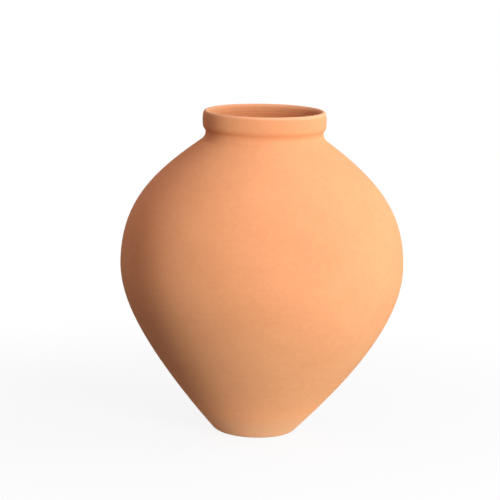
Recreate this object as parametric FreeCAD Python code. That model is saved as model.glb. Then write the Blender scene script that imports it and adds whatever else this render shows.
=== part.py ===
"""Wheel-thrown terracotta vase: a base disc, two thrown walls, a neck collar and a rolled rim.

The pieces are thrown apart, seated on V joints and luted together, as large jars are.
Every piece is turned about the Z axis from an outline of (radius, height) points.
The origin is the middle of the foot, on the floor, and +Z is up.
"""
import FreeCAD, Part
import math
import os

# Driving dimensions, in millimetres and degrees
foot_radius = 59.0           # sharp corner of foot and flank, before it is rounded
foot_rounding = 20.0         # radius of the rounded foot edge
foot_ring = 6.0              # width of the flat ring that the vase stands on
recess_depth = 2.0           # shallow hollow inside that ring
recess_bevel = 5.0           # width of the sloping edge of that hollow
floor_thickness = 14.0
wall = 10.0                  # thickness square to the wall
flank_lean = 42.6            # lean of the wall from upright, at the foot
belly_radius = 215.0         # widest point, on the belly seam
belly_height = 260.0         # belly seam above the floor
shoulder_rise = 193.5        # belly seam up to the corner of shoulder and neck
shoulder_lean = 53.6         # lean of the wall from upright, where it meets the neck
neck_cove = 8.0              # how far the hollow curve runs up the neck and down the shoulder
throat_radius = 80.0         # narrowest inside radius
neck_wall = 9.0              # thickness of the neck at the throat
throat_rounding = 6.0        # how far the rounded throat edge runs up the throat
rim_height = 33.5            # groove under the rim up to the lip
rim_bulge_rise = 17.5        # groove under the rim up to the widest point of the rim
mouth_radius = 84.0          # straight stretch inside the lip
lip_thickness = 9.5          # from that stretch out to the widest point of the rolled rim
lip_crest = 4.5              # from that stretch out to the crest of the lip
lip_drop = 6.5               # lip down to the straight stretch inside it
mouth_depth = 17.5           # lip down to where the mouth starts to narrow
vee_depth = 3.5              # depth of the V joints
vee_width = 5.0
base_coil_size = 12.0        # coil of clay pressed into the corner of floor and wall
base_coil_hollow = 0.25      # how far its face is drawn towards the corner, as a share of the way
belly_coil_reach = 16.0      # coil pressed over the belly seam inside: reach to each side
belly_coil_thickness = 4.0

# Fullness of the curves: each handle's length as a share of the span that it shapes
flank_fullness = 0.66
belly_fullness_below = 0.163
belly_fullness_above = 0.446
shoulder_fullness = 0.436
undercut_fullness = 0.43     # the rim's outside, where it leaves the groove
bulge_fullness = 0.91        # the same curve, where it reaches the widest point
lip_fullness = 0.74          # from the widest point over to the crest of the lip, squarer than an arc
round_fullness = 0.56        # a curve round a corner, close to an arc

AXIS_POINT = FreeCAD.Vector(0, 0, 0)
AXIS_UP = FreeCAD.Vector(0, 0, 1)
UP = (0.0, 1.0)
DOWN = (0.0, -1.0)
IN = (-1.0, 0.0)


def point(radius, height):
    return FreeCAD.Vector(radius, 0, height)


def step_from(start, direction, distance):
    """The point that lies a distance from start, along an (outward, upward) direction."""
    return start + FreeCAD.Vector(direction[0], 0, direction[1]) * distance


def direction_of(lean, outward):
    """Unit direction of a wall that rises and leans outwards (1) or inwards (-1)."""
    angle = math.radians(lean)
    return (outward * math.sin(angle), math.cos(angle))


def line(*points):
    return [Part.LineSegment(a, b).toShape() for a, b in zip(points, points[1:])]


def bezier(start, leave, leave_length, end, arrive, arrive_length):
    """Curve that leaves start along one direction and arrives at end along another."""
    curve = Part.BezierCurve()
    curve.setPoles([
        start,
        step_from(start, leave, leave_length),
        step_from(end, arrive, -arrive_length),
        end,
    ])
    return curve


def round_corner(start, corner, end):
    """Curve from start to end that hugs the corner between them."""
    curve = Part.BezierCurve()
    curve.setPoles([
        start,
        start + (corner - start) * round_fullness,
        end + (corner - end) * round_fullness,
        end,
    ])
    return curve


def quarter_round(start, leave, end, arrive, fullness):
    """Quarter of an oval between an upright and a level direction."""
    width = abs(end.x - start.x)
    height = abs(end.z - start.z)
    leave_length = fullness * (width if leave[0] else height)
    arrive_length = fullness * (width if arrive[0] else height)
    return bezier(start, leave, leave_length, end, arrive, arrive_length)


def vee(inner, outer):
    """V joint in the middle of a level seam: the tongue of the upper piece points down."""
    middle = (inner + outer) * 0.5
    half = FreeCAD.Vector(vee_width / 2, 0, 0)
    tip = middle - FreeCAD.Vector(0, 0, vee_depth)
    return line(inner, middle - half, tip, middle + half, outer)


def turn(edges):
    """Solid of revolution of a closed outline."""
    wire = Part.Wire(Part.__sortEdges__(edges))
    return Part.Face(wire).revolve(AXIS_POINT, AXIS_UP, 360)


# Outside radii of the neck and the rim
neck_radius = throat_radius + neck_wall      # in the groove under the rim
rim_radius = mouth_radius + lip_thickness    # widest point of the rolled rim

# Seam points that neighbouring pieces share
flank_up = direction_of(flank_lean, 1)
shoulder_up = direction_of(shoulder_lean, -1)
flank_wall_width = wall / math.cos(math.radians(flank_lean))

base_outer = point(foot_radius + floor_thickness * math.tan(math.radians(flank_lean)), floor_thickness)
base_inner = base_outer - point(flank_wall_width, 0)
belly_outer = point(belly_radius, belly_height)
belly_inner = point(belly_radius - wall, belly_height)

neck_corner = point(neck_radius, belly_height + shoulder_rise)
collar_outer = step_from(neck_corner, shoulder_up, -neck_cove)
collar_inner = step_from(collar_outer, (-shoulder_up[1], shoulder_up[0]), wall)
groove_outer = neck_corner + point(0, neck_cove)
groove_inner = point(throat_radius, groove_outer.z)

lip_height = groove_outer.z + rim_height


# Curves of the walls, outside and inside
def lower_curve(start, end):
    chord = (end - start).Length
    rise = end.z - start.z
    return bezier(start, flank_up, flank_fullness * chord, end, UP, belly_fullness_below * rise)


def upper_curve(start, end):
    chord = (end - start).Length
    rise = end.z - start.z
    return bezier(start, UP, belly_fullness_above * rise, end, shoulder_up, shoulder_fullness * chord)


lower_outside = lower_curve(base_outer, belly_outer)
lower_inside = lower_curve(base_inner, belly_inner)
upper_outside = upper_curve(belly_outer, collar_outer)
upper_inside = upper_curve(belly_inner, collar_inner)


def base_disc():
    """Floor of the vase, with a rounded foot edge and a shallow hollow underneath."""
    foot_corner = point(foot_radius, 0)
    rounding_turn = math.radians(90 - flank_lean)
    tangent_length = foot_rounding * math.tan(rounding_turn / 2)
    foot_edge = step_from(foot_corner, IN, tangent_length)
    flank_start = step_from(foot_corner, flank_up, tangent_length)
    rounding_centre = step_from(foot_edge, UP, foot_rounding)
    half_turn = rounding_turn / 2
    rounding_middle = step_from(
        rounding_centre, (math.sin(half_turn), -math.cos(half_turn)), foot_rounding
    )
    ring_inside = step_from(foot_edge, IN, foot_ring)
    underside = line(
        point(0, recess_depth),
        step_from(ring_inside, IN, recess_bevel) + point(0, recess_depth),
        ring_inside,
        foot_edge,
    )
    edge = [Part.Arc(foot_edge, rounding_middle, flank_start).toShape()]
    flank = line(flank_start, base_outer)
    seam = vee(base_inner, base_outer)
    floor_top = line(base_inner, point(0, floor_thickness), point(0, recess_depth))
    return turn(underside + edge + flank + seam + floor_top)


def lower_wall():
    """Thrown wall from the base disc up to the belly seam."""
    return turn(
        vee(base_inner, base_outer)
        + [lower_outside.toShape()]
        + vee(belly_inner, belly_outer)
        + [lower_inside.toShape()]
    )


def upper_wall():
    """Thrown shoulder from the belly seam up to the neck, on a bevelled seam."""
    return turn(
        vee(belly_inner, belly_outer)
        + [upper_outside.toShape()]
        + line(collar_outer, collar_inner)
        + [upper_inside.toShape()]
    )


def neck_collar():
    """Short hollow neck, with a rounded throat edge inside."""
    throat_run = (collar_inner.x - throat_radius) / math.sin(math.radians(shoulder_lean))
    throat_corner = step_from(collar_inner, shoulder_up, throat_run)
    throat_start = throat_corner + point(0, throat_rounding)
    return turn(
        [round_corner(collar_outer, neck_corner, groove_outer).toShape()]
        + vee(groove_inner, groove_outer)
        + line(groove_inner, throat_start)
        + [round_corner(throat_start, throat_corner, collar_inner).toShape()]
        + line(collar_inner, collar_outer)
    )


def rim_roll():
    """Rolled rim: swells out of the groove, rounds over the lip and narrows to the throat."""
    bulge = point(rim_radius, groove_outer.z + rim_bulge_rise)
    lip = point(mouth_radius + lip_crest, lip_height)
    mouth_top = point(mouth_radius, lip_height - lip_drop)
    mouth_bottom = point(mouth_radius, lip_height - mouth_depth)
    undercut = undercut_fullness * rim_bulge_rise
    swell = bulge_fullness * rim_bulge_rise
    narrowing = round_fullness * (mouth_bottom.z - groove_inner.z)
    return turn(
        vee(groove_inner, groove_outer)
        + [bezier(groove_outer, UP, undercut, bulge, UP, swell).toShape()]
        + [quarter_round(bulge, UP, lip, IN, lip_fullness).toShape()]
        + [quarter_round(lip, IN, mouth_top, DOWN, round_fullness).toShape()]
        + line(mouth_top, mouth_bottom)
        + [bezier(mouth_bottom, DOWN, narrowing, groove_inner, DOWN, narrowing).toShape()]
    )


def base_coil():
    """Coil of clay pressed into the corner of floor and wall, with a hollow face."""
    wall_parameter = lower_inside.parameterAtDistance(base_coil_size, lower_inside.FirstParameter)
    on_wall = lower_inside.value(wall_parameter)
    on_floor = step_from(base_inner, IN, base_coil_size)
    chord_middle = (on_wall + on_floor) * 0.5
    face_middle = chord_middle + (base_inner - chord_middle) * base_coil_hollow
    return turn(
        [lower_inside.toShape(lower_inside.FirstParameter, wall_parameter)]
        + [Part.Arc(on_wall, face_middle, on_floor).toShape()]
        + line(on_floor, base_inner)
    )


def belly_coil():
    """Coil pressed flat over the inside of the belly seam, to hold the two walls together."""
    below = lower_inside.parameterAtDistance(-belly_coil_reach, lower_inside.LastParameter)
    above = upper_inside.parameterAtDistance(belly_coil_reach, upper_inside.FirstParameter)
    crown = step_from(belly_inner, IN, belly_coil_thickness)
    return turn(
        [lower_inside.toShape(below, lower_inside.LastParameter)]
        + [upper_inside.toShape(upper_inside.FirstParameter, above)]
        + [Part.Arc(upper_inside.value(above), crown, lower_inside.value(below)).toShape()]
    )


pieces = {
    "base_disc": base_disc,
    "base_coil": base_coil,
    "lower_wall": lower_wall,
    "belly_coil": belly_coil,
    "upper_wall": upper_wall,
    "neck_collar": neck_collar,
    "rim_roll": rim_roll,
}

os.makedirs("parts", exist_ok=True)
for name, make in pieces.items():
    solid = make()
    solid.exportStep(f"parts/{name}.step")
    print(f"{name}: valid {solid.isValid()}, {solid.Volume / 1000:.1f} cm3")
print(f"height {lip_height:.1f} mm, width {2 * belly_radius:.1f} mm")
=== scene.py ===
import bpy
import math
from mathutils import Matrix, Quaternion, Vector


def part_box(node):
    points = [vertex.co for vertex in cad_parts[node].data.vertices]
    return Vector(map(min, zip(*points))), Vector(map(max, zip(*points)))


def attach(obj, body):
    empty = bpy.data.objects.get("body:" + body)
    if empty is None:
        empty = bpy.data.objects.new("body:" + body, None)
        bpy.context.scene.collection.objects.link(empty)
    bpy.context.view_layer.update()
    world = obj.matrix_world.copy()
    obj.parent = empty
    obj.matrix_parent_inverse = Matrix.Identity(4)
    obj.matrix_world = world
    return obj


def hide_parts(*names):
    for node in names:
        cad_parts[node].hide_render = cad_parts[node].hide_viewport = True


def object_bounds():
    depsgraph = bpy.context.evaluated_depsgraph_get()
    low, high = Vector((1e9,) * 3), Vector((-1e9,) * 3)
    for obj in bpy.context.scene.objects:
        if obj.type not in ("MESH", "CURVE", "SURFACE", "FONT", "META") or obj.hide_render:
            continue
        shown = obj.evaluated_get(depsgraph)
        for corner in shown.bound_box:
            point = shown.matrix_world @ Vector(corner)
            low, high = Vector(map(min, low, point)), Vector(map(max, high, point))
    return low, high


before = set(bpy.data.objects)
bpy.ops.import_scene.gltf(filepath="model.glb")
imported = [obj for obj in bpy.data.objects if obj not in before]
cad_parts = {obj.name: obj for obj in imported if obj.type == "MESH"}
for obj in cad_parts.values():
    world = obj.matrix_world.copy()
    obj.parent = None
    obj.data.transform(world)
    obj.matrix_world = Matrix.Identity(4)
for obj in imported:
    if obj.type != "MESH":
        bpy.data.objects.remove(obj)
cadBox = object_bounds()
print("frame loaded:", len(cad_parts), "clay pieces")

# Turning an outline into a piece of clay
wheel = {
    "sides": 192,           # faces round the pot
    "weld": 1e-6,           # points closer than this are one
    "smoothAngle": 28,      # degrees; sharper edges stay crisp, as at the joints
    "veeDepth": 0.0035,     # tongue and groove where two pieces are luted
    "veeWidth": 0.005,
    "roundness": 0.56,      # handles of a curve round a corner, as a share of its reach; close to an arc
}
up = Vector((0, 0, 1))
down = Vector((0, 0, -1))
inward = Vector((-1, 0, 0))


def spot(radius, height):
    return Vector((radius, 0, height))


def leaning(degrees, outward):          # unit direction of a wall that rises and leans
    angle = math.radians(degrees)
    return Vector((outward * math.sin(angle), 0, math.cos(angle)))


def bend(start, leave, end, arrive, rows):      # leave and arrive are the two handles, as offsets
    return {"poles": [start, start + leave, end - arrive, end], "rows": rows}


def straight(start, end, rows=1):
    third = (end - start) / 3
    return bend(start, third, end, third, rows)


def rounded(start, corner, end, rows, roundness=wheel["roundness"]):        # curve that hugs a corner
    return bend(start, (corner - start) * roundness, end, (end - corner) * roundness, rows)


def arcHandle(radius, turn):        # how long a curve's handles are on an arc
    return radius * 4 / 3 * math.tan(turn / 4)


def vee(inner, outer):      # the tongue of the upper piece points down
    middle = (inner + outer) / 2
    half = Vector((wheel["veeWidth"] / 2, 0, 0))
    tip = middle + down * wheel["veeDepth"]
    stops = [inner, middle - half, tip, middle + half, outer]
    return [straight(a, b) for a, b in zip(stops, stops[1:])]


def pointOn(run, share):
    a, b, c, d = run["poles"]
    rest = 1 - share
    return a * rest**3 + b * 3 * rest**2 * share + c * 3 * rest * share**2 + d * share**3


def shareAt(run, height, halvings=40):      # how far along a rising run it reaches that height
    low, high = 0.0, 1.0
    for _ in range(halvings):
        middle = (low + high) / 2
        if pointOn(run, middle).z < height:
            low = middle
        else:
            high = middle
    return low


def stretchOf(run, first, last, rows, nudge=1e-4):      # part of a run, with its own handles
    third = (last - first) / 3
    start = pointOn(run, first)
    end = pointOn(run, last)
    leave = (pointOn(run, first + nudge) - start) / nudge * third
    arrive = (end - pointOn(run, last - nudge)) / nudge * third
    return bend(start, leave, end, arrive, rows)


def throwPiece(name, runs):
    bpy.ops.object.select_all(action="DESELECT")
    strips = []
    for run in runs:
        bpy.ops.curve.primitive_bezier_curve_add()
        strip = bpy.context.object
        strip.data.dimensions = "3D"
        spline = strip.data.splines[0]
        spline.resolution_u = run["rows"]
        first, last = spline.bezier_points
        for knot in (first, last):
            knot.handle_left_type = "FREE"
            knot.handle_right_type = "FREE"
        first.co, first.handle_right, last.handle_left, last.co = run["poles"]
        first.handle_left = first.co
        last.handle_right = last.co
        strips.append(strip)
    for strip in strips:
        strip.select_set(True)
    bpy.ops.object.join()
    bpy.ops.object.convert(target="MESH")
    piece = bpy.context.object
    piece.name = name
    piece.data.name = name
    bpy.ops.object.mode_set(mode="EDIT")
    bpy.ops.mesh.select_all(action="SELECT")
    bpy.ops.mesh.remove_doubles(threshold=wheel["weld"])
    bpy.ops.mesh.spin(steps=wheel["sides"], angle=math.tau, center=(0, 0, 0), axis=(0, 0, 1))
    bpy.ops.mesh.select_all(action="SELECT")
    bpy.ops.mesh.remove_doubles(threshold=wheel["weld"])
    bpy.ops.mesh.normals_make_consistent(inside=False)
    bpy.ops.object.mode_set(mode="OBJECT")
    print("thrown:", name, len(piece.data.polygons), "faces")
    return piece


def press(piece, label, depth, shape):      # moves the clay along its normals, by a formula from 0 to 1
    group = piece.vertex_groups.new(name=label)
    for vertex in piece.data.vertices:
        weight = shape(vertex.co, vertex.normal)
        if weight > 0:
            group.add([vertex.index], weight, "REPLACE")
    pushed = piece.modifiers.new(label, "DISPLACE")
    pushed.vertex_group = label
    pushed.strength = depth
    pushed.mid_level = 0
    bpy.context.view_layer.objects.active = piece
    bpy.ops.object.modifier_apply(modifier=label)
    piece.vertex_groups.clear()


def ease(share):        # kept between 0 and 1, with soft ends
    share = max(0.0, min(1.0, share))
    return share * share * (3 - 2 * share)


def fadeBelow(value, high, length):         # 1, dying out to 0 at the high end
    return ease((high - value) / length)


def fadeBetween(value, low, high, length):      # 1 in the middle, 0 at both ends
    return ease(min(value - low, high - value) / length)


def swing(angle):       # a wave between 0 and 1
    return 0.5 + 0.5 * math.sin(angle)


def turnOf(co):         # angle round the pot
    return math.atan2(co.y, co.x)


def spiralWave(co, travel, pitch):      # rises and falls once for each pitch, and climbs one pitch a turn
    return swing(math.tau * travel / pitch + turnOf(co))


def facingOut(co, normal):
    return normal.x * co.x + normal.y * co.y > 0


# Seams that neighbouring pieces share, read from the frame
wallThickness = 0.010
flank = {
    "lean": 42.6,               # degrees from upright, at the foot
    "fullness": 0.66,           # handle at the foot, as a share of the chord
    "bellyFullness": 0.163,     # handle at the belly, as a share of the rise
    "rows": 190,
    "innerRows": 130,
}
shoulder = {
    "lean": 53.6,               # degrees from upright, at the neck
    "fullness": 0.436,          # handle at the neck, as a share of the chord
    "bellyFullness": 0.446,
    "rows": 160,
    "innerRows": 110,
    "seamRows": 3,
}
neck = {
    "radius": 0.089,            # in the groove under the rim
    "cove": 0.008,              # how far the hollow curve runs down the shoulder
    "throatRadius": 0.080,
    "throatRounding": 0.006,
    "coveRows": 24,
    "throatRows": 6,
    "throatEdgeRows": 20,
}

flankUp = leaning(flank["lean"], 1)
shoulderUp = leaning(shoulder["lean"], -1)
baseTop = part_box("base_disc")[1]
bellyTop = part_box("lower_wall")[1]
collarLow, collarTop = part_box("neck_collar")
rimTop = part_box("rim_roll")[1]

baseOuter = spot(baseTop.x, baseTop.z)
baseInner = baseOuter + inward * (wallThickness / flankUp.z)
bellyOuter = spot(bellyTop.x, bellyTop.z)
bellyInner = bellyOuter + inward * wallThickness
collarOuter = spot(collarTop.x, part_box("upper_wall")[1].z)
collarInner = collarOuter + Vector((-shoulderUp.z, 0, shoulderUp.x)) * wallThickness
neckCorner = collarOuter + shoulderUp * neck["cove"]
grooveOuter = spot(neck["radius"], collarTop.z)
grooveInner = spot(neck["throatRadius"], collarTop.z)


def flankRun(start, end, rows):
    leave = flankUp * flank["fullness"] * (end - start).length
    return bend(start, leave, end, up * flank["bellyFullness"] * (end.z - start.z), rows)


def shoulderRun(start, end, rows):
    arrive = shoulderUp * shoulder["fullness"] * (end - start).length
    return bend(start, up * shoulder["bellyFullness"] * (end.z - start.z), end, arrive, rows)


flankOutside = flankRun(baseOuter, bellyOuter, flank["rows"])
flankInside = flankRun(baseInner, bellyInner, flank["innerRows"])
shoulderOutside = shoulderRun(bellyOuter, collarOuter, shoulder["rows"])
shoulderInside = shoulderRun(bellyInner, collarInner, shoulder["innerRows"])

# Marks of the potter's fingers and rib
throwing = {
    "linePitch": 0.011,         # faint lines left outside by the rib
    "lineDepth": 0.00006,
    "ridgePitch": 0.017,        # finger ridges inside
    "ridgeHeight": 0.0008,
    "fade": 0.012,              # they die out towards the seams
}


def throwingMarks(piece, low, high):
    def marks(co, pitch):
        return spiralWave(co, co.z, pitch) * fadeBetween(co.z, low, high, throwing["fade"])

    def lines(co, normal):
        return marks(co, throwing["linePitch"]) if facingOut(co, normal) else 0

    def ridges(co, normal):
        return 0 if facingOut(co, normal) else marks(co, throwing["ridgePitch"])

    press(piece, "ribLines", -throwing["lineDepth"], lines)
    press(piece, "fingerRidges", throwing["ridgeHeight"], ridges)


# Base disc: floor, rounded foot edge and the shallow hollow underneath
foot = {
    "radius": 0.059,            # sharp corner of foot and flank, before it is rounded
    "rounding": 0.020,
    "ring": 0.006,              # width of the flat ring that the pot stands on
    "recessDepth": 0.002,
    "recessBevel": 0.005,
    "rows": {"hollow": 40, "bevel": 4, "ring": 6, "edge": 14, "flank": 6, "floor": 52},
    "levelFace": 0.7,           # a face is level where its normal points this much up or down
    "spiralPitch": 0.0105,      # finger spiral on the floor inside
    "spiralHeight": 0.0007,
    "spiralFade": 0.010,
    "wirePitch": 0.0042,        # arcs left underneath by the cutting wire
    "wireDepth": 0.00022,
    "wireCentre": 0.085,        # the arcs' centre, out to one side
    "wireFade": 0.006,
}


def makeBaseDisc():
    rows = foot["rows"]
    corner = spot(foot["radius"], 0)
    turn = math.radians(90 - flank["lean"])
    tangent = foot["rounding"] * math.tan(turn / 2)
    handle = arcHandle(foot["rounding"], turn)
    footEdge = corner + inward * tangent
    flankStart = corner + flankUp * tangent
    hollow = spot(0, foot["recessDepth"])
    ring = footEdge + inward * foot["ring"]
    hollowEdge = ring + inward * foot["recessBevel"] + up * foot["recessDepth"]
    floorMiddle = spot(0, baseTop.z)
    piece = throwPiece("baseDisc", [
        straight(hollow, hollowEdge, rows["hollow"]),
        straight(hollowEdge, ring, rows["bevel"]),
        straight(ring, footEdge, rows["ring"]),
        bend(footEdge, -inward * handle, flankStart, flankUp * handle, rows["edge"]),
        straight(flankStart, baseOuter, rows["flank"]),
        *vee(baseInner, baseOuter),
        straight(floorMiddle, baseInner, rows["floor"]),
        straight(floorMiddle, hollow),
    ])

    def floorSpiral(co, normal):
        if normal.z < foot["levelFace"]:
            return 0
        radius = math.hypot(co.x, co.y)
        fade = fadeBelow(radius, baseInner.x, foot["spiralFade"])
        return spiralWave(co, radius, foot["spiralPitch"]) * fade

    def wireArcs(co, normal):
        if normal.z > -foot["levelFace"]:
            return 0
        reach = math.hypot(co.x - foot["wireCentre"], co.y)
        fade = fadeBelow(math.hypot(co.x, co.y), hollowEdge.x, foot["wireFade"])
        return swing(math.tau * reach / foot["wirePitch"]) * fade

    press(piece, "fingerSpiral", foot["spiralHeight"], floorSpiral)
    press(piece, "wireArcs", -foot["wireDepth"], wireArcs)
    return piece


# Coils of clay, pressed in place by thumb
thumb = {
    "swells": 3,                # how often round the pot the pressings crowd and spread
    "floorFace": -0.95,         # faces turned down this much rest on the floor, and aren't pressed
}


def dimpled(coil):
    def shape(co, normal):
        if facingOut(co, normal) or normal.z < thumb["floorFace"]:
            return 0
        turn = turnOf(co)
        return swing(turn * coil["dimples"] + coil["uneven"] * math.sin(turn * thumb["swells"])) ** 2
    return shape


# Base coil: pressed into the corner of floor and wall
baseCoil = {
    "size": 0.012,
    "pull": 1 / 3,              # how far the face's handles are drawn towards the corner
    "rows": {"wall": 8, "face": 14, "floor": 8},
    "dimples": 17,
    "uneven": 0.8,
    "dimpleDepth": 0.0007,
}


def makeBaseCoil():
    rows = baseCoil["rows"]
    share = shareAt(flankInside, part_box("base_coil")[1].z)
    onWall = pointOn(flankInside, share)
    onFloor = baseInner + inward * baseCoil["size"]
    chordMiddle = (onWall + onFloor) / 2
    pull = chordMiddle + (baseInner - chordMiddle) * baseCoil["pull"]
    piece = throwPiece("baseCoil", [
        stretchOf(flankInside, 0, share, rows["wall"]),
        rounded(onWall, pull, onFloor, rows["face"], roundness=2 / 3),      # a parabola
        straight(onFloor, baseInner, rows["floor"]),
    ])
    press(piece, "thumbDimples", -baseCoil["dimpleDepth"], dimpled(baseCoil))
    return piece


# Belly coil: pressed flat over the seam of the two walls, inside
bellyCoil = {
    "thickness": 0.004,
    "edgeHandle": 0.5,          # at its two edges, as a share of the way to the crown
    "crownHandle": 0.4,         # at the crown, as a share of its reach up and down
    "rows": 10,
    "dimples": 46,
    "uneven": 1.4,
    "dimpleDepth": 0.0009,
}


def makeBellyCoil():
    rows = bellyCoil["rows"]
    coilLow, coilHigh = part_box("belly_coil")
    first = shareAt(flankInside, coilLow.z)
    last = shareAt(shoulderInside, coilHigh.z)
    bottom = pointOn(flankInside, first)
    top = pointOn(shoulderInside, last)
    crown = bellyInner + inward * bellyCoil["thickness"]
    overCrown = down * (coilHigh.z - coilLow.z) / 2 * bellyCoil["crownHandle"]
    piece = throwPiece("bellyCoil", [
        stretchOf(flankInside, first, 1, rows),
        stretchOf(shoulderInside, 0, last, rows),
        bend(top, (crown - top) * bellyCoil["edgeHandle"], crown, overCrown, rows),
        bend(crown, overCrown, bottom, (bottom - crown) * bellyCoil["edgeHandle"], rows),
    ])
    press(piece, "thumbDimples", -bellyCoil["dimpleDepth"], dimpled(bellyCoil))
    return piece


# Lower and upper wall, thrown apart and joined at the belly
turning = {"height": 0.056, "width": 0.004, "depth": 0.00022}       # a line left where the foot was turned


def makeLowerWall():
    piece = throwPiece("lowerWall", [
        *vee(baseInner, baseOuter),
        flankOutside,
        *vee(bellyInner, bellyOuter),
        flankInside,
    ])
    throwingMarks(piece, baseTop.z, bellyTop.z)

    def turningLine(co, normal):
        if not facingOut(co, normal):
            return 0
        return math.exp(-((co.z - turning["height"]) / turning["width"]) ** 2)

    press(piece, "turningLine", -turning["depth"], turningLine)
    return piece


def makeUpperWall():
    piece = throwPiece("upperWall", [
        *vee(bellyInner, bellyOuter),
        shoulderOutside,
        straight(collarOuter, collarInner, shoulder["seamRows"]),
        shoulderInside,
    ])
    throwingMarks(piece, bellyTop.z, collarLow.z)
    return piece


# Neck collar: short hollow neck with a rounded throat edge
def makeNeckCollar():
    run = (collarInner.x - neck["throatRadius"]) / math.sin(math.radians(shoulder["lean"]))
    throatCorner = collarInner + shoulderUp * run
    throatStart = throatCorner + up * neck["throatRounding"]
    return throwPiece("neckCollar", [
        rounded(collarOuter, neckCorner, grooveOuter, neck["coveRows"]),
        *vee(grooveInner, grooveOuter),
        straight(grooveInner, throatStart, neck["throatRows"]),
        rounded(throatStart, throatCorner, collarInner, neck["throatEdgeRows"]),
        straight(collarInner, collarOuter, shoulder["seamRows"]),
    ])


# Rim roll: swells out of the groove, rounds over the lip and narrows to the throat
rim = {
    "bulgeRise": 0.0175,        # from the groove up to its widest point
    "undercut": 0.43,           # how far it goes straight up out of the groove, as a share of the rise
    "swell": 0.91,              # how far it goes straight up into its widest point
    "lipFullness": 0.74,        # squarer than an arc, from there over to the crest
    "mouthRadius": 0.084,
    "lipCrest": 0.0045,         # from the mouth out to the crest of the lip
    "lipDrop": 0.0065,          # from the crest down to the straight inside of the mouth
    "mouthDepth": 0.0175,       # from the crest down to where the mouth narrows
    "rows": {"outside": 32, "lip": 26, "crest": 14, "mouth": 24, "throat": 24},
    "ringPitch": 0.0046,        # finger rings inside the mouth
    "ringDepth": 0.0004,
    "ringFade": 0.002,
}


def makeRimRoll():
    rows = rim["rows"]
    bulge = spot(rimTop.x, grooveOuter.z + rim["bulgeRise"])
    lip = spot(rim["mouthRadius"] + rim["lipCrest"], rimTop.z)
    mouthTop = spot(rim["mouthRadius"], rimTop.z - rim["lipDrop"])
    mouthBottom = spot(rim["mouthRadius"], rimTop.z - rim["mouthDepth"])
    undercut = up * rim["undercut"] * rim["bulgeRise"]
    swell = up * rim["swell"] * rim["bulgeRise"]
    overBulge = up * rim["lipFullness"] * (lip.z - bulge.z)
    ontoLip = inward * rim["lipFullness"] * (bulge.x - lip.x)
    overLip = inward * wheel["roundness"] * rim["lipCrest"]
    intoMouth = down * wheel["roundness"] * rim["lipDrop"]
    narrowing = down * wheel["roundness"] * (mouthBottom.z - grooveInner.z)
    piece = throwPiece("rimRoll", [
        *vee(grooveInner, grooveOuter),
        bend(grooveOuter, undercut, bulge, swell, rows["outside"]),
        bend(bulge, overBulge, lip, ontoLip, rows["lip"]),
        bend(lip, overLip, mouthTop, intoMouth, rows["crest"]),
        straight(mouthTop, mouthBottom, rows["mouth"]),
        bend(mouthBottom, narrowing, grooveInner, narrowing, rows["throat"]),
    ])

    def mouthRings(co, normal):
        if facingOut(co, normal):
            return 0
        fade = fadeBetween(co.z, mouthBottom.z, mouthTop.z, rim["ringFade"])
        return spiralWave(co, co.z, rim["ringPitch"]) * fade

    press(piece, "mouthRings", -rim["ringDepth"], mouthRings)
    return piece


makers = {
    "base_disc": makeBaseDisc,
    "base_coil": makeBaseCoil,
    "lower_wall": makeLowerWall,
    "belly_coil": makeBellyCoil,
    "upper_wall": makeUpperWall,
    "neck_collar": makeNeckCollar,
    "rim_roll": makeRimRoll,
}
pieces = {}
for nodeName, make in makers.items():
    pieces[nodeName] = make()

# A hand-thrown pot wanders a little off its axis, and its rim isn't quite level
wander = {      # pulls on a soft cage round the pot, in metres; the clay follows a little less
    # layer by layer, from foot to rim; the two in the middle keep the belly in its place
    "sideways": (-0.0042, 0.0012, 0.00001, 0.00001, -0.0005, -0.0044),
    "rimDrop": (0.0065, 0.0011, -0.0017),       # down, at the rim's left, middle and right
}


def handThrown(clayPieces):
    low, high = cadBox
    across = len(wander["rimDrop"])
    layers = len(wander["sideways"])
    bpy.ops.object.select_all(action="DESELECT")
    bpy.ops.object.add(type="LATTICE", location=(low + high) / 2)
    cage = bpy.context.object
    cage.scale = high - low
    cage.data.points_u = across
    cage.data.points_v = across
    cage.data.points_w = layers
    for index, corner in enumerate(cage.data.points):
        layer = index // (across * across)
        corner.co_deform.x += wander["sideways"][layer] / cage.scale.x
        if layer == layers - 1:
            corner.co_deform.z -= wander["rimDrop"][index % across] / cage.scale.z
    for piece in clayPieces:
        bent = piece.modifiers.new("handThrown", "LATTICE")
        bent.object = cage
        bpy.context.view_layer.objects.active = piece
        bpy.ops.object.modifier_apply(modifier="handThrown")
    bpy.ops.object.select_all(action="DESELECT")
    cage.select_set(True)
    bpy.ops.object.delete()


handThrown(pieces.values())
print("pot set a little off true")


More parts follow.
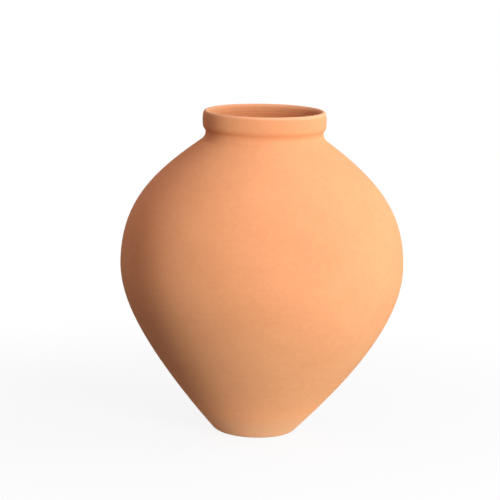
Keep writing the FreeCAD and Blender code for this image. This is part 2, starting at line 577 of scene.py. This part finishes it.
# Shader sums: a socket that can stand in a Python expression
class Value:
    def __init__(self, tree, socket=None):
        self.tree = tree
        self.socket = socket

    def node(self, kind, settings=None, inputs=None, output=0):     # settings first, then sockets
        made = self.tree.nodes.new(kind)
        for key, setting in (settings or {}).items():
            setattr(made, key, setting)
        for key, given in (inputs or {}).items():
            if isinstance(given, Value):
                self.tree.links.new(given.socket, made.inputs[key])
            else:
                made.inputs[key].default_value = given
        return Value(self.tree, made.outputs[output])

    def sum(self, operation, first, second):
        return self.node("ShaderNodeMath", {"operation": operation}, {0: first, 1: second})

    def __add__(self, other):
        return self.sum("ADD", self, other)

    def __radd__(self, other):
        return self.sum("ADD", other, self)

    def __sub__(self, other):
        return self.sum("SUBTRACT", self, other)

    def __rsub__(self, other):
        return self.sum("SUBTRACT", other, self)

    def __mul__(self, other):
        return self.sum("MULTIPLY", self, other)

    def __rmul__(self, other):
        return self.sum("MULTIPLY", other, self)

    def __truediv__(self, other):
        return self.sum("DIVIDE", self, other)

    def __rtruediv__(self, other):
        return self.sum("DIVIDE", other, self)

    def __pow__(self, other):
        return self.sum("POWER", self, other)

    def __rpow__(self, other):
        return self.sum("POWER", other, self)


def blendColour(factor, first, second):
    sockets = {0: factor, 6: first, 7: second}      # the colour sockets of a node that has others too
    return factor.node("ShaderNodeMix", {"data_type": "RGBA"}, sockets, output=2)


def ramp(value, low, high):         # 0 at low, 1 at high, eased
    sockets = {"Value": value, "From Min": low, "From Max": high}
    return value.node("ShaderNodeMapRange", {"interpolation_type": "SMOOTHSTEP"}, sockets)


# Terracotta: fine sandy grain, streaks along the turning, soft clouds, a few pores and grog specks
terracottaLook = {
    "paleClay": (0.95, 0.465, 0.222, 1),
    "darkClay": (0.79, 0.325, 0.144, 1),
    "layers": {         # scale is per metre; tone and relief are shares of the colour and the bumps
        "cloud": {"scale": 11, "detail": 3, "roughness": 0.55, "tone": 0.5, "relief": 0},
        "mottle": {"scale": 130, "detail": 3, "roughness": 0.6, "tone": 0.45, "relief": 0.5},
        "streak": {"scale": 260, "detail": 3, "roughness": 0.55, "tone": 0.25, "relief": 0.35},
        "grain": {"scale": 520, "detail": 3, "roughness": 0.6, "tone": 0.4, "relief": 0.4},
        "sand": {"scale": 1500, "detail": 2, "roughness": 0.6, "tone": 0.25, "relief": 0.25},
    },
    "streakReach": 6.0,         # lower is longer streaks
    "dotScale": 95,             # pores and specks are dots in a few cells of this pattern
    "dotEdge": (0.03, 0.11),
    "pore": {"colour": (0.40, 0.16, 0.07, 1), "picked": (0.97, 0.975), "cover": 0.5, "depth": 1.2},
    "speck": {"colour": (0.93, 0.60, 0.38, 1), "picked": (0.06, 0.07), "cover": 0.35},
    "paintedLipHighlight": {              # paler: a painted highlight along the top of the lip
        "colour": (0.95, 0.49, 0.275, 1),
        "band": (0.0065, 0.0025),       # metres below the lip, from none of it to all
        "cover": 0.9,
    },
    "paintedShade": {              # painted shade: redder and darker in the groove under the rim and inside the mouth
        "colour": (0.78, 0.29, 0.115, 1),
        "rise": 0.004,          # middle of the groove's band, above the seam of neck and rim
        "reach": 0.009,
        "above": 0.1,           # share of it that goes on up the rim
        "wallFace": (0.0005, 0.0025),       # metres out from the mouth's face, from inside to outside
        "grooveCover": 0.55,
        "mouthCover": 0.6,
    },
    "dust": {
        "colour": (0.62, 0.39, 0.22, 1),
        "reach": (0.012, 0.048),        # height, from all of it to none
        "cover": 0.3,
        "patches": 0.3,         # up to this much more where the clouds are pale
    },
    "roughness": 0.88,
    "roughnessSpread": 0.12,
    "bumpDepth": 0.00022,
    "bumpStrength": 0.55,
    "specular": 0.08,
    "diffuseRoughness": 0.6,
}


def makeTerracotta(look):
    material = bpy.data.materials.new("terracotta")
    material.use_nodes = True
    tree = material.node_tree
    shader = tree.nodes["Principled BSDF"]
    start = Value(tree)
    place = start.node("ShaderNodeTexCoord", output="Object")
    x, y, z = (place.node("ShaderNodeSeparateXYZ", inputs={0: place}, output=axis) for axis in "XYZ")

    def offAxis(across, deep):          # the last number keeps it above 0 on the axis
        return (across * across + deep * deep + 1e-9) ** 0.5

    def noise(layer):
        return place.node("ShaderNodeTexNoise", inputs={
            "Vector": place,
            "Scale": layer["scale"],
            "Detail": layer["detail"],
            "Roughness": layer["roughness"],
        })

    def streaks(layer):         # stretched round the pot, so the turn is a place on a circle
        radius = offAxis(x, y)
        around = place.node("ShaderNodeCombineXYZ", inputs={
            "X": radius * layer["scale"],
            "Y": z * layer["scale"],
            "Z": x / radius * look["streakReach"],
        })
        return place.node("ShaderNodeTexNoise", {"noise_dimensions": "4D"}, {
            "Vector": around,
            "W": y / radius * look["streakReach"],
            "Scale": 1,
            "Detail": layer["detail"],
            "Roughness": layer["roughness"],
        })

    patterns = {}
    for name, layer in look["layers"].items():
        patterns[name] = streaks(layer) if name == "streak" else noise(layer)

    # Dots: a pore or a speck in the middle of a cell that is picked by its own colour
    cell = {"Vector": place, "Scale": look["dotScale"]}
    cellReach = place.node("ShaderNodeTexVoronoi", inputs=cell, output="Distance")
    cellColour = place.node("ShaderNodeTexVoronoi", inputs=cell, output="Color")
    pick = place.node("ShaderNodeSeparateColor", inputs={0: cellColour})
    dot = 1 - ramp(cellReach, *look["dotEdge"])
    pore = dot * ramp(pick, *look["pore"]["picked"])
    speck = dot * (1 - ramp(pick, *look["speck"]["picked"]))

    tone = 0.5      # half way from the dark clay to the pale
    height = pore * -look["pore"]["depth"]
    for name, layer in look["layers"].items():
        tone = tone + (patterns[name] - 0.5) * layer["tone"]
        if layer["relief"]:
            height = height + patterns[name] * layer["relief"]
    colour = blendColour(tone, look["darkClay"], look["paleClay"])

    # Painted shade in the groove and inside the mouth, a painted highlight on the lip, and dust at the foot
    paintedShade = look["paintedShade"]
    lipHighlight = look["paintedLipHighlight"]
    lipHeight = rimTop.z
    grooveHeight = grooveOuter.z + paintedShade["rise"]
    rimReach = offAxis(x - wander["sideways"][-1], y)       # the rim has moved with the wander of the pot
    outside = ramp(rimReach, *(rim["mouthRadius"] + out for out in paintedShade["wallFace"]))
    fromGroove = ramp(z, grooveHeight - paintedShade["reach"], grooveHeight)
    aboveGroove = ramp(z, grooveHeight, grooveHeight + paintedShade["reach"])
    groove = fromGroove * (1 - (1 - paintedShade["above"]) * aboveGroove) * outside
    nearLip = ramp(z, lipHeight - rim["mouthDepth"], lipHeight - rim["lipDrop"])
    mouth = (1 - outside) * (1 - nearLip) * fromGroove
    shade = groove * paintedShade["grooveCover"] + mouth * paintedShade["mouthCover"]
    lip = ramp(z, *(lipHeight - below for below in lipHighlight["band"]))
    dust = 1 - ramp(z, *look["dust"]["reach"])
    dustCover = look["dust"]["cover"] + look["dust"]["patches"] * patterns["cloud"]
    # painted shade in the groove under the rim and inside the mouth
    colour = blendColour(shade, colour, paintedShade["colour"])
    # painted highlight, paler along the top of the lip
    colour = blendColour(lip * lipHighlight["cover"], colour, lipHighlight["colour"])
    colour = blendColour(dust * dustCover, colour, look["dust"]["colour"])
    colour = blendColour(speck * look["speck"]["cover"], colour, look["speck"]["colour"])
    colour = blendColour(pore * look["pore"]["cover"], colour, look["pore"]["colour"])

    rough = look["roughness"] + (patterns["grain"] - 0.5) * look["roughnessSpread"]
    bump = height.node("ShaderNodeBump", inputs={
        "Height": height,
        "Strength": look["bumpStrength"],
        "Distance": look["bumpDepth"],
    })
    for name, value in (("Base Color", colour), ("Roughness", rough), ("Normal", bump)):
        tree.links.new(value.socket, shader.inputs[name])
    shader.inputs["Specular IOR Level"].default_value = look["specular"]
    shader.inputs["Diffuse Roughness"].default_value = look["diffuseRoughness"]
    return material


terracotta = makeTerracotta(terracottaLook)
for nodeName, piece in pieces.items():
    bpy.ops.object.select_all(action="DESELECT")
    piece.select_set(True)
    bpy.context.view_layer.objects.active = piece
    bpy.ops.object.shade_smooth_by_angle(angle=math.radians(wheel["smoothAngle"]))
    piece.data.materials.clear()
    piece.data.materials.append(terracotta)
    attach(piece, "root")
    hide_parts(nodeName)
print("terracotta on", len(pieces), "pieces")

# White studio: a pale floor, a soft window and a skylight to the right, and an even dome
studio = {
    "floorSize": 12,
    "floorRoughness": 0.9,
    "paleFloor": (0.70, 0.72, 0.76, 1),
    "dimFloor": (0.04, 0.04, 0.04, 1),      # further out, so that little light comes back from there
    "floorFall": (0.06, 0.24),      # metres from the pot's axis, from the pale floor to the dim one
    "seenFloor": (0.95, 0.95, 0.95, 1),     # as the camera sees it
    "glow": 0.88,               # share of the floor that is plain white to the camera, beside the pot
    "glowFall": (0.35, 0.9),        # metres from the pot's axis, from that share to all white
    "white": (1, 1, 1, 1),
    "domeColour": (1.0, 0.80, 0.83, 1),
    "domeStrength": 0.48,
}
softBoxes = {       # degrees round from the camera and up, metres from the belly
    "window": {
        "round": 32, "up": 11, "away": 2.6,
        "wide": 0.8, "tall": 1.7,
        "power": 66, "colour": (0.90, 1.0, 1.0),
    },
    "skylight": {
        "round": 76, "up": 34, "away": 2.4,
        "wide": 1.2, "tall": 1.2,
        "power": 17, "colour": (0.60, 0.82, 1.0),
    },
}


def towards(turn, lift):        # unit direction, in degrees round from the camera and up
    turn, lift = math.radians(turn), math.radians(lift)
    return Vector((math.sin(turn) * math.cos(lift), -math.cos(turn) * math.cos(lift), math.sin(lift)))


def seenDirectly(start):        # by the camera, in a reflection or through glass
    rays = ("Is Camera Ray", "Is Glossy Ray", "Is Transmission Ray")
    camera, glossy, through = (start.node("ShaderNodeLightPath", output=ray) for ray in rays)
    return start.node("ShaderNodeClamp", inputs={0: camera + glossy + through})


def makeFloor():
    bpy.ops.object.select_all(action="DESELECT")
    bpy.ops.mesh.primitive_plane_add(size=studio["floorSize"])
    floor = bpy.context.object
    floor.name = "studioFloor"
    material = bpy.data.materials.new("studioFloor")
    material.use_nodes = True
    tree = material.node_tree
    shader = tree.nodes["Principled BSDF"]
    shader.inputs["Roughness"].default_value = studio["floorRoughness"]
    start = Value(tree)
    place = start.node("ShaderNodeTexCoord", output="Object")
    reach = place.node("ShaderNodeVectorMath", {"operation": "LENGTH"}, {0: place}, output="Value")
    seen = seenDirectly(start)
    colour = blendColour(ramp(reach, *studio["floorFall"]), studio["paleFloor"], studio["dimFloor"])
    colour = blendColour(seen, colour, studio["seenFloor"])
    tree.links.new(colour.socket, shader.inputs["Base Color"])
    far = ramp(reach, *studio["glowFall"])
    share = seen * (studio["glow"] + far * (1 - studio["glow"]))
    glow = start.node("ShaderNodeEmission", inputs={"Color": studio["white"], "Strength": 1})
    mixed = start.node("ShaderNodeMixShader", inputs={0: share, 1: Value(tree, shader.outputs[0]), 2: glow})
    tree.links.new(mixed.socket, tree.nodes["Material Output"].inputs["Surface"])
    floor.data.materials.append(material)


def makeWorld():
    world = bpy.data.worlds.new("studio")
    bpy.context.scene.world = world
    world.use_nodes = True
    tree = world.node_tree
    dome = tree.nodes["Background"]
    dome.inputs["Color"].default_value = studio["domeColour"]
    dome.inputs["Strength"].default_value = studio["domeStrength"]
    start = Value(tree)
    white = start.node("ShaderNodeBackground", inputs={"Color": studio["white"], "Strength": 1})
    mixed = start.node("ShaderNodeMixShader", inputs={
        0: seenDirectly(start),
        1: Value(tree, dome.outputs[0]),
        2: white,
    })
    tree.links.new(mixed.socket, tree.nodes["World Output"].inputs["Surface"])


def makeSoftBox(name, box):
    away = towards(box["round"], box["up"])
    bpy.ops.object.light_add(type="AREA", location=Vector((0, 0, bellyTop.z)) + away * box["away"])
    lamp = bpy.context.object
    lamp.name = name
    lamp.data.shape = "RECTANGLE"
    lamp.data.size = box["wide"]
    lamp.data.size_y = box["tall"]
    lamp.data.energy = box["power"]
    lamp.data.color = box["colour"]
    lamp.rotation_euler = (-away).to_track_quat("-Z", "Y").to_euler()


makeFloor()
makeWorld()
for boxName, box in softBoxes.items():
    makeSoftBox(boxName, box)

# Camera at the photograph's angle, with the pot leaning a little to the right in the frame
view = {
    "place": (0, -3.6, 0.918),
    "aim": (-0.0186, 0, 0.2797),
    "lens": 173.1,              # millimetres, as is the sensor's width
    "sensor": 36,
    "roll": 2.0,                # degrees
}
bpy.ops.object.camera_add(location=view["place"])
camera = bpy.context.object
camera.data.lens = view["lens"]
camera.data.sensor_width = view["sensor"]
camera.rotation_mode = "QUATERNION"
gaze = Vector(view["aim"]) - Vector(view["place"])
roll = Quaternion((0, 0, 1), math.radians(view["roll"]))
camera.rotation_quaternion = gaze.to_track_quat("-Z", "Y") @ roll
bpy.context.scene.camera = camera
bpy.context.scene.view_settings.view_transform = "Standard"
print("studio ready")

bpy.context.view_layer.update()
